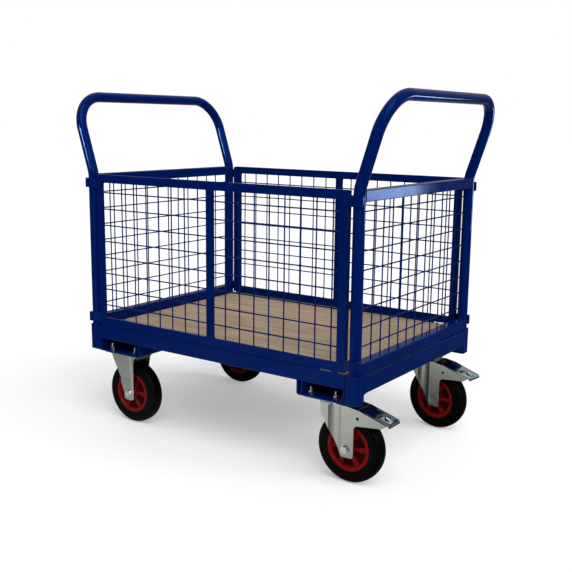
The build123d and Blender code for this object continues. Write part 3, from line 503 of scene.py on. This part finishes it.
# %% Assign the finishes
finishes = {
    "blue_frame": powder_coat, "castor_steel": zinc_sheet, "fasteners": zinc_bolt, "hub": polypropylene,
    "tyre": rubber, "deck": plywood, "brake_pad": rubber,
}
exceptions = {"pivot_pins": dark_pin_shade, "brake_pedal": foot_polished_zinc}
for subpart in frame["record"]["subparts"]:
    node = subpart["node"]
    finish = finishes[subpart["material_slot"]]
    for ending, other_finish in exceptions.items():
        if node.endswith(ending):
            finish = other_finish
    data = nodes[node].data
    data.materials.clear()
    data.materials.append(finish)
print("finishes on", len(nodes), "nodes")


# %% [markdown]
# ## Making small pieces
# Welds, threads and mould marks are too small for the CAD model, but they are what makes steel look welded
# and plastic look moulded. Each kind is one mesh on one body, so that it moves with what carries it. A
# folded piece keeps its edges sharp where they bend by more than 40 degrees; the others are smooth all over.


# %% A piece from a mesh
fold_angle = radians(40)


def new_piece(name, mesh, body, slot, folded=False):
    for facet in mesh.faces:
        facet.smooth = True
    bmesh.ops.recalc_face_normals(mesh, faces=mesh.faces)
    data = bpy.data.meshes.new(name)
    mesh.to_mesh(data)
    mesh.free()
    if folded:
        data.set_sharp_from_angle(angle=fold_angle)
    data.materials.append(finishes[slot])
    piece = bpy.data.objects.new(name, data)
    bpy.context.scene.collection.objects.link(piece)
    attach(piece, body)
    print(name, len(data.polygons), "faces on", body)
    return piece


# %% [markdown]
# ## Weld beads
# A bead is a row of frozen drops along a seam. A curve with a round bevel would give a smooth rod, so the
# bead is built ring by ring, and the radius swells and shrinks once per drop. Drops are about 2.5 mm apart;
# 4 mm still shows. Where the route turns, each ring is lined up with the one before it, so that the skin
# between them doesn't twist. Later pieces use the same skin between other loops of points.


# %% A bead along a route
def skin(mesh, loops):
    for lower, upper in zip(loops, loops[1:]):
        for k in range(len(lower)):
            mesh.faces.new((lower[k - 1], lower[k], upper[k], upper[k - 1]))


def close_ends(mesh, loops):
    mesh.faces.new(loops[0][::-1])
    mesh.faces.new(loops[-1])


drop_length, drop_swell, rings_per_drop = 4 * MM, 0.15, 4


def bead_rings(mesh, route, radius, drop, sides=8):
    rings = []
    travelled = 0.0
    for start, end in zip(route, route[1:]):
        step = end - start
        count = max(2, round(step.length / (drop / rings_per_drop)))
        across = step.orthogonal().normalized()
        along = step.normalized()
        arms = [Matrix.Rotation(2 * pi * k / sides, 3, along) @ across for k in range(sides)]
        for i in range(count + (end == route[-1])):
            s = travelled + step.length * i / count
            swell = radius * (1 + drop_swell * cos(2 * pi * s / drop))
            middle = start + step * (i / count)
            rings.append([mesh.verts.new(middle + arm * swell) for arm in arms])
        travelled += step.length
    return rings


def line_up(rings):
    for lower, upper in zip(rings, rings[1:]):
        shift = min(range(len(upper)), key=lambda k: (upper[k].co - lower[0].co).length)
        upper[:] = upper[shift:] + upper[:shift]
        if (upper[1].co - lower[1].co).length > (upper[-1].co - lower[1].co).length:
            upper[1:] = upper[:0:-1]


def bead(mesh, route, radius, drop=drop_length):
    rings = bead_rings(mesh, [Vector(point) for point in route], radius, drop)
    line_up(rings)
    skin(mesh, rings)
    close_ends(mesh, rings)


print("a bead has a drop every", drop_length / MM, "mm")


# %% [markdown]
# ### End frames
# Both cross rails are coped to the round legs of the hoop and welded. The seam follows the tube: straight
# down the two side faces of the rail, and in an arc over its top. Only the upper rail has an arc underneath
# too, because the lower one stands just above the chassis.

# %% Beads where the rails meet the hoop legs
leg_x, leg_y, leg_radius = 0.481, 0.3365, 0.016
rail_half = 0.015
lower_rail, upper_rail = (0.3245, 0.352), (0.772, 0.802)
rail_weld = 1.8 * MM
arc_steps = 8

for end, side in (("left", -1), ("right", 1)):
    mesh = bmesh.new()
    for rail in (lower_rail, upper_rail):
        low, high = rail
        for leg in (-1, 1):
            seam = []
            for i in range(arc_steps + 1):
                across = rail_half * (2 * i / arc_steps - 1)
                seam.append((side * leg_x + across, leg * (leg_y - sqrt(leg_radius ** 2 - across ** 2))))
            bead(mesh, [(x, y, high) for x, y in seam], rail_weld)
            for corner in (seam[0], seam[-1]):
                bead(mesh, [(*corner, low), (*corner, high)], rail_weld)
            if rail is upper_rail:
                bead(mesh, [(x, y, low) for x, y in seam], rail_weld)
    new_piece(f"{end}_end_frame_welds", mesh, f"{end}_end_frame", "blue_frame")

# %% [markdown]
# ### Side panels and hooks
# The flat bars are butted and welded on the inside corners, and each hook is tacked to the panel's end above
# and below. On the chassis, short beads hold the castor trays up against the lower flange of the side rail.

# %% Beads on the panels and the chassis
half_width = 0.35
panel_end, bar, bar_depth = 0.4555, 0.025, 0.008
panel_low, panel_high = 0.326, 0.802
hook_lows, hook_height = (0.334, 0.761), 0.029
tray_inboards = (-0.286, 0.3065)
rail_bottom, rail_flange = 0.280, 0.030
corner_weld, hook_weld, tray_weld = 2.2 * MM, 2.0 * MM, 1.8 * MM
corner_inset, tray_inset = 1 * MM, 2 * MM
tack_start, tack_end = 0.5 * MM, 4 * MM

mesh = bmesh.new()
for side in (-1, 1):
    front, back = side * half_width, side * (half_width - bar_depth)
    for upright in (-panel_end + bar / 2, 0, panel_end - bar / 2):
        for flank in (-1, 1):
            x = upright + flank * bar / 2
            if abs(x) < panel_end - bar / 2:
                for z in (panel_low + bar, panel_high - bar):
                    bead(mesh, [(x, front - side * corner_inset, z), (x, back, z)], corner_weld)
    for x in (-panel_end, panel_end):
        for low in hook_lows:
            for z in (low, low + hook_height):
                bead(mesh, [(x, front - side * depth, z) for depth in (tack_start, tack_end)], hook_weld)
    for x in tray_inboards:
        ends = (side * (half_width - tray_inset), side * (half_width - rail_flange))
        bead(mesh, [(x, y, rail_bottom) for y in ends], tray_weld)
new_piece("chassis_welds", mesh, "chassis", "blue_frame")

# %% [markdown]
# ## Folded ends of the side panels
# The end bar of each side panel is folded: a short leg turns inward beside the hoop, stiffens the edge and
# shades the slit. A solidify modifier on a plane would do, but a section with a rounded free edge, drawn out
# along the bar, looks like folded steel from every side.

# %% Folded ends
fold_outer, fold_thick = 0.4553, 2.6 * MM
fold_start, fold_end = 0.3425, 0.3312
fold_low, fold_high = 0.328, 0.800
stretches = 8


def stations(start, end):
    return [start + (end - start) * i / stretches for i in range(stretches + 1)]


half_thick = fold_thick / 2
free_edge = [(fold_outer - half_thick * (1 - cos(a)), fold_end + half_thick * (1 - sin(a)))
             for a in (radians(45 * i) for i in range(5))]
section = [(fold_outer, fold_start), *free_edge, (fold_outer - fold_thick, fold_start)]

mesh = bmesh.new()
for side in (-1, 1):
    for end in (-1, 1):
        loops = [[mesh.verts.new((end * x, side * y, z)) for x, y in section]
                 for z in stations(fold_low, fold_high)]
        skin(mesh, loops)
        close_ends(mesh, loops)
new_piece("panel_folded_ends", mesh, "chassis", "blue_frame", folded=True)

# %% [markdown]
# ## Rolled lips along the seam
# The side panels stand a few millimetres above the rails on their tabs. The rail's outer edge is rolled up
# there, so the seam looks shut apart from a short stretch by each post. A lip is a rounded section drawn out
# along the rail. A bevel modifier would round a box too, but five points round the top do the same.

# %% Seam lips
lip_outer, lip_inner, lip_round = 0.3496, 0.3440, 1.6 * MM
lip_low, lip_high = 0.3215, 0.3252
lip_spans = ((-0.4540, -0.4365), (-0.4145, 0.3780))

rolled_edge = [(lip_outer - lip_round * (1 - cos(a)), lip_high - lip_round * (1 - sin(a)))
               for a in (radians(22.5 * i) for i in range(5))]
section = [(lip_outer, lip_low), *rolled_edge, (lip_inner, lip_high), (lip_inner, lip_low)]

mesh = bmesh.new()
for side in (-1, 1):
    for span in lip_spans:
        loops = [[mesh.verts.new((x, side * y, z)) for y, z in section] for x in stations(*span)]
        skin(mesh, loops)
        close_ends(mesh, loops)
new_piece("rail_seam_lips", mesh, "chassis", "blue_frame", folded=True)

# %% [markdown]
# ## Spot welds of the wire mesh
# Where two wires cross, a current has melted them together and left a small swelling. Each is a squashed
# sphere between the two layers. One mesh holds all the spots of a panel, made by copying a low sphere to
# every crossing.


# %% Spot welds
def add_spots(mesh, places, squash):
    for place in places:
        scale = Matrix.Diagonal((*squash, 1.0))
        bmesh.ops.create_uvsphere(mesh, u_segments=8, v_segments=5, radius=1.0,
                                  matrix=Matrix.Translation(place) @ scale)


pitch, first_row, rows = 0.0509, 0.389, 8
row_heights = [first_row + pitch * row for row in range(rows)]
# Eight columns stand on each side of a side panel's centre upright, and eleven across an end.
side_columns = [pitch * column for column in range(-8, 9) if column]
end_columns = [pitch * column for column in range(-5, 6)]
side_plane, end_plane = 0.33795, 0.4775
spot_wide, spot_thick = 2.6 * MM, 1.5 * MM

mesh = bmesh.new()
add_spots(mesh, [(x, side * side_plane, z) for side in (-1, 1) for x in side_columns for z in row_heights],
          (spot_wide, spot_thick, spot_wide))
new_piece("side_mesh_spot_welds", mesh, "chassis", "blue_frame")
for end, side in (("left", -1), ("right", 1)):
    mesh = bmesh.new()
    add_spots(mesh, [(side * end_plane, y, z) for y in end_columns for z in row_heights],
              (spot_thick, spot_wide, spot_wide))
    new_piece(f"{end}_mesh_spot_welds", mesh, f"{end}_end_frame", "blue_frame")

# %% [markdown]
# ## Threads on the castor bolts
# The bolts stand above their nuts in the open trays. A screw modifier could wind the thread, but a helix of
# small three-cornered rings is as short. M8 has a pitch of 1.25 mm; 2 mm is what can be told apart.

# %% Threads
fixed_x, swivel_x, castor_y = -0.3755, 0.380, 0.275
fixed_hole_x, swivel_hole_x, hole_y = 0.050, 0.040, 0.0525
bolt_radius, nut_top, bolt_top = 4 * MM, 0.2521, 0.2641
thread_pitch, steps_per_turn = 2 * MM, 12
thread_root, thread_crest, thread_half = bolt_radius - 0.3 * MM, bolt_radius + 0.5 * MM, 0.9 * MM
thread_steps = round((bolt_top - nut_top - thread_pitch) / thread_pitch * steps_per_turn)


def wind_thread(mesh, centre):
    loops = []
    for i in range(thread_steps + 1):
        turn = 2 * pi * i / steps_per_turn
        out = Vector((cos(turn), sin(turn), 0))
        z = nut_top + 0.5 * thread_pitch + thread_pitch * i / steps_per_turn
        corners = ((thread_root, -thread_half), (thread_crest, 0.0), (thread_root, thread_half))
        loops.append([mesh.verts.new(centre + out * r + Vector((0, 0, z + dz))) for r, dz in corners])
    skin(mesh, loops)


mesh = bmesh.new()
for castor_x, hole_x in ((fixed_x, fixed_hole_x), (swivel_x, swivel_hole_x)):
    for side in (-1, 1):
        for dx in (-hole_x, hole_x):
            for dy in (-hole_y, hole_y):
                wind_thread(mesh, Vector((castor_x + dx, side * castor_y + dy, 0)))
new_piece("castor_bolt_threads", mesh, "chassis", "fasteners")

# %% [markdown]
# ## Pedal edges and tongue
# The press rounds the pedal's edges and those of its slot, and bends a short tongue down into the slot. The
# edges are what catches the light. Each is a bead half sunk into the plate, which is shorter than bevelling
# a copy of the pedal. First come the places: everything is measured by its reach from the castor's kingpin,
# on the sloping tread.

# %% Places on a pedal
pedal_low, pedal_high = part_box("right_front_brake_pedal")
pedal_half = (pedal_high[1] - pedal_low[1]) / 2
tread_slope, tread_height, tread_root = 0.3, 0.217, 0.1


def tread_of(kingpin_y, heading):
    kingpin = Vector((swivel_x, kingpin_y, 0))
    turn = Matrix.Rotation(heading, 3, "Z")

    def on_tread(reach, across, below=0.0):
        height = tread_height - (reach - tread_root) * tread_slope - below
        return kingpin + turn @ Vector((reach, across, height))

    return on_tread


print("pedal", round(2 * pedal_half / MM, 1), "mm wide")

# %% [markdown]
# ### Tongue
# The tongue is a bent strip. A solidified plane would need its bend moved point by point, so it is made from
# its side view: a line of points along the top, the same line again one thickness below, and both drawn
# across the width.

# %% Tongue
# Reach in metres, and how far below the tread in mm.
tongue_line = ((0.1485, -0.3), (0.1515, 0.2), (0.1545, 2.2), (0.1585, 5.6), (0.1640, 10.6))
tongue_half, tongue_thick = 0.0105, 1.8 * MM


def add_tongue(mesh, on_tread):
    upper = [(reach, drop * MM) for reach, drop in tongue_line]
    lower = [(reach - 0.5 * tongue_thick, drop + tongue_thick) for reach, drop in reversed(upper)]
    flanks = [[mesh.verts.new(on_tread(reach, across, drop)) for reach, drop in upper + lower]
              for across in (-tongue_half, tongue_half)]
    skin(mesh, flanks)
    last = len(flanks[0]) - 1
    for flank in flanks:
        for k in range(len(upper) - 1):
            mesh.faces.new((flank[k], flank[k + 1], flank[last - k - 1], flank[last - k]))


print("tongue", round(2 * tongue_half / MM, 1), "mm wide")

# %% [markdown]
# ### Edges
# The beads along the edges are smooth rods: their drop is 10 m long, longer than any edge, so the radius
# hardly changes along them. The rear pedal is turned with its castor, by 7 degrees.

# %% Pedal edges and tongue
edge_start, edge_end, lip_reach, lip_margin = 0.112, 0.188, 0.190, 4 * MM
slot_near, slot_far, slot_near_half, slot_far_half = 0.152, 0.1825, 0.0135, 0.0082
rim_radius, slot_radius, no_drops = 0.9 * MM, 0.7 * MM, 10.0
edge_inset = 1 * MM
pedals = (("right_front", -castor_y, 0.0), ("right_rear", castor_y, radians(-7)))

for castor, kingpin_y, heading in pedals:
    on_tread = tread_of(kingpin_y, heading)
    mesh = bmesh.new()
    for side in (-1, 1):
        edge = side * (pedal_half - edge_inset)
        bead(mesh, [on_tread(edge_start, edge), on_tread(edge_end, edge)], rim_radius, no_drops)
        bead(mesh, [on_tread(slot_near, side * slot_near_half), on_tread(slot_far, side * slot_far_half)],
             slot_radius, no_drops)
    lip_half = pedal_half - lip_margin
    bead(mesh, [on_tread(lip_reach, across) for across in (-lip_half, lip_half)], rim_radius, no_drops)
    bead(mesh, [on_tread(slot_far, across) for across in (-slot_far_half, slot_far_half)],
         slot_radius, no_drops)
    add_tongue(mesh, on_tread)
    trim = new_piece(f"{castor}_pedal_trim", mesh, f"{castor}_brake", "castor_steel", folded=True)
    trim.data.materials[0] = foot_polished_zinc

# %% [markdown]
# ## Moulded hubs
# The real hub is a rim and a boss joined by a thin web, with six spokes standing on each face, so that the
# mould can draw straight out. Cutting pockets with booleans would leave long thin faces. Here each face is a
# set of rings with the same points, and only their depth differs on a spoke and beside it, so the mesh is
# clean. The piece replaces the plainer CAD hub and keeps its bore, its boss and its rim.

# %% Rings of a hub
# Radius, half width on a spoke, half width in a pocket, all in mm.
hub_rings = ((15, 25, 25), (22.3, 25, 25), (23, 24.3, 24.3), (23.6, 17, 2.5), (38, 16, 2.5), (49, 15.2, 3.5),
             (53.2, 15, 15), (55, 19.4, 19.4), (56.6, 21, 21), (65.2, 21, 21), (65.9, 20.3, 20.3))
spokes, boss_foot, rim_foot = 6, 23.6, 53.2
spoke_narrow, spoke_wide, draft = 4.0, 9.0, 0.8
# Each sector has three points for its spoke and six for its pocket. Facet 2 is the top of the spoke.
pocket_points, sector_points, spoke_top = 6, 9, 2


def hub_ring(radius, on_spoke, in_pocket):
    share = min(max((radius - boss_foot) / (rim_foot - boss_foot), 0), 1)
    half = spoke_narrow + (spoke_wide - spoke_narrow) * share
    top, foot, sector = half / radius, (half + draft) / radius, 2 * pi / spokes
    points = []
    for spoke in range(spokes):
        turns = [(-foot, in_pocket), (-top, on_spoke), (top, on_spoke)]
        turns += [(foot + (sector - 2 * foot) * i / pocket_points, in_pocket) for i in range(pocket_points)]
        points += [(radius, spoke * sector + turn, depth) for turn, depth in turns]
    return points


print(len(hub_rings), "rings on each face of a hub,", len(hub_ring(*hub_rings[0])), "points each")

# %% [markdown]
# ### Hubs
# Each wheel's joint says where its axle is and which way it points, so one loop makes all four hubs, the
# turned one too. The pockets' facets get the finish with painted shade, except the spokes' tops.


# %% Hubs
def axle_of(joint):
    axis = Vector(joint["axis"]).normalized()
    return Vector(joint["pos_m"]), axis, axis.cross(Vector((0, 0, 1)))


joints = frame["record"]["behaviour"]["joints"]
wheel_joints = [joint for joint in joints if joint["name"].endswith("wheel_spin")]
# The bands between rings that reach into the pockets.
pocket_bands = (2, 3, 4, 5)

for joint in wheel_joints:
    wheel = joint["child"]
    centre, axis, away = axle_of(joint)
    mesh = bmesh.new()
    sides = []
    for face in (-1, 1):
        rings = []
        for ring in hub_rings:
            points = [Matrix.Rotation(turn, 3, axis) @ away * radius + axis * face * depth
                      for radius, turn, depth in hub_ring(*ring)]
            rings.append([mesh.verts.new(centre + point * MM) for point in points])
        sides.append(rings)
    for rings in sides:
        for band, (inner, outer) in enumerate(zip(rings, rings[1:])):
            for k in range(len(inner)):
                facet = mesh.faces.new((inner[k - 1], inner[k], outer[k], outer[k - 1]))
                # Facets in the pockets take the second finish, whose darker red is painted shade.
                facet.material_index = int(band in pocket_bands and k % sector_points != spoke_top)
    for i in (0, -1):
        skin(mesh, [sides[0][i], sides[1][i]])
    hub = new_piece(wheel.replace("_wheel", "_ribbed_hub"), mesh, wheel, "hub", folded=True)
    hub.data.materials.append(pocket_shade_red)
    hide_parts(wheel.replace("_wheel", "_hub"))

# %% [markdown]
# ## Mould marks on the wheels
# A tyre mould leaves fine raised rings on the side wall, and the pins that push the hub out of its mould
# leave a small ring on each spoke. Both are thin round ridges, made by winding a small circle round the axle
# or round the pin.


# %% Rings round an axis
def add_ring(mesh, centre, axis, radius, thickness, around=96, sides=6):
    turn = axis.to_track_quat("Z", "Y").to_matrix()
    loops = []
    for i in range(around):
        a = 2 * pi * i / around
        loop = []
        for k in range(sides):
            b = 2 * pi * k / sides
            reach = radius + thickness * cos(b)
            local = Vector((reach * cos(a), reach * sin(a), thickness * sin(b)))
            loop.append(mesh.verts.new(centre + turn @ local))
        loops.append(loop)
    skin(mesh, [loops[-1]] + loops)


# Distance from the wheel's middle plane and radius of each ring on the tyre.
wall_rings = ((21.3 * MM, 70 * MM), (21.9 * MM, 82.5 * MM))
wall_ridge = 0.7 * MM
pin_depth, pin_reach, pin_radius, pin_ridge = 15.6 * MM, 45 * MM, 2.6 * MM, 0.5 * MM

for joint in wheel_joints:
    wheel = joint["child"]
    centre, axis, away = axle_of(joint)
    tyre_rings, pin_rings = bmesh.new(), bmesh.new()
    for face in (-1, 1):
        for depth, radius in wall_rings:
            add_ring(tyre_rings, centre + axis * face * depth, axis, radius, wall_ridge)
        for spoke in range(spokes):
            out = Matrix.Rotation(2 * pi * spoke / spokes, 3, axis) @ away
            pin = centre + axis * face * pin_depth + out * pin_reach
            add_ring(pin_rings, pin, axis, pin_radius, pin_ridge, around=16)
    new_piece(f"{wheel}_tyre_rings", tyre_rings, wheel, "tyre")
    new_piece(f"{wheel}_pin_marks", pin_rings, wheel, "hub")
